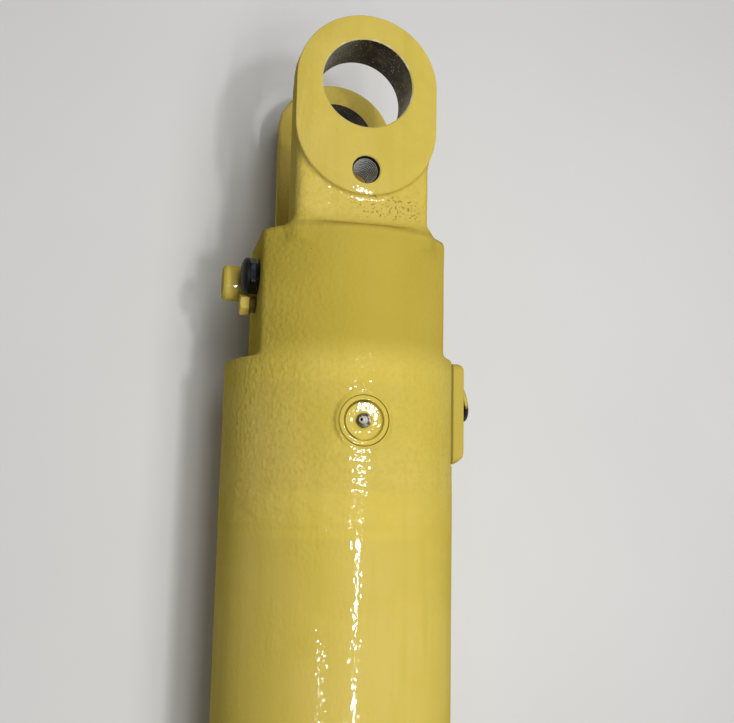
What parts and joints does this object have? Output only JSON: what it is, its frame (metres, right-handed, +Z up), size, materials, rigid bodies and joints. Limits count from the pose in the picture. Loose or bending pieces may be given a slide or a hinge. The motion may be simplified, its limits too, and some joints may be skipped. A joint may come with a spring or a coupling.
{
  "type": "hydraulic cylinder",
  "caption": "Double-acting hydraulic cylinder with a forged fork and pin bores at the cap end, and a chrome rod with a spherical-bearing eye at the other.",
  "frame": {"origin": "on the ground, under the centre of the whole cylinder's footprint, with the cylinder lying on its barrel", "axes": "+Y along the cylinder towards the fork, +Z up and along the pin bores, +X towards the side with the oil ports"},
  "size_m": [0.234, 1.2086, 0.2185],
  "materials": {
    "yellow_paint": "gloss",
    "rod_chrome": "polished",
    "machined_steel": "machined",
    "black_oxide_steel": "satin",
    "zinc_steel": "satin",
    "bronze": "machined",
    "black_rubber": "matte",
    "black_plastic": "satin",
    "seal_polymer": "matte"
  },
  "bodies": {
    "barrel": {"barrel_tube": "yellow_paint", "bleed_guard_ring": "yellow_paint", "cap_end_port_pad": "yellow_paint", "cap_end_port_plug": "black_plastic", "clevis_base": "yellow_paint", "gland": "yellow_paint", "gland_backup_ring": "black_plastic", "gland_bolt_01": "black_oxide_steel", "gland_bolt_02": "black_oxide_steel", "gland_bolt_03": "black_oxide_steel", "gland_bolt_04": "black_oxide_steel", "gland_bolt_05": "black_oxide_steel", "gland_bolt_06": "black_oxide_steel", "gland_bolt_07": "black_oxide_steel", "gland_bolt_08": "black_oxide_steel", "gland_bolt_09": "black_oxide_steel", "gland_bolt_10": "black_oxide_steel", "gland_o_ring": "black_rubber", "rod_buffer_seal": "seal_polymer", "rod_bushing": "bronze", "rod_end_port_pad": "yellow_paint", "rod_end_port_plug": "black_plastic", "rod_u_seal": "black_rubber", "side_bolt": "yellow_paint", "side_port_adapter": "zinc_steel", "side_port_boss": "yellow_paint", "side_port_cap": "black_plastic", "side_spacer": "yellow_paint", "wiper_retaining_ring": "machined_steel", "wiper_seal": "black_rubber"},
    "piston_seals": {"piston_seal": "seal_polymer", "piston_wear_ring_front": "seal_polymer", "piston_wear_ring_rear": "seal_polymer"},
    "rod": {"piston_rod": "rod_chrome", "piston": "machined_steel", "piston_nut": "machined_steel", "piston_o_ring": "black_rubber", "nut_lock_screw": "black_oxide_steel", "rod_eye": "yellow_paint", "bearing_outer_ring": "machined_steel", "bearing_retaining_ring_upper": "machined_steel", "bearing_retaining_ring_lower": "machined_steel", "eye_grease_fitting": "zinc_steel"},
    "bearing_ball": {"bearing_inner_ring": "rod_chrome"},
    "bleed": {"bleed_screw": "machined_steel"}
  },
  "joints": [
    {"name": "rod_extend", "type": "slide", "parent": "barrel", "child": "piston_seals", "axis": [0, -1, 0], "range_m": [0, 0.35]},
    {"name": "rod_turn", "type": "hinge", "parent": "piston_seals", "child": "rod", "pos_m": [-0.00735, 0, 0.105], "axis": [0, 1, 0], "continuous": true},
    {"name": "bearing_tilt", "type": "hinge", "parent": "rod", "child": "bearing_ball", "pos_m": [-0.00735, -0.50815, 0.105], "axis": [1, 0, 0], "range_deg": [-6, 6]},
    {"name": "bleed_screw_turn", "type": "hinge", "parent": "barrel", "child": "bleed", "pos_m": [-0.00735, 0.24685, 0.205], "axis": [0, 0, 1], "range_deg": [0, 360]}
  ]
}
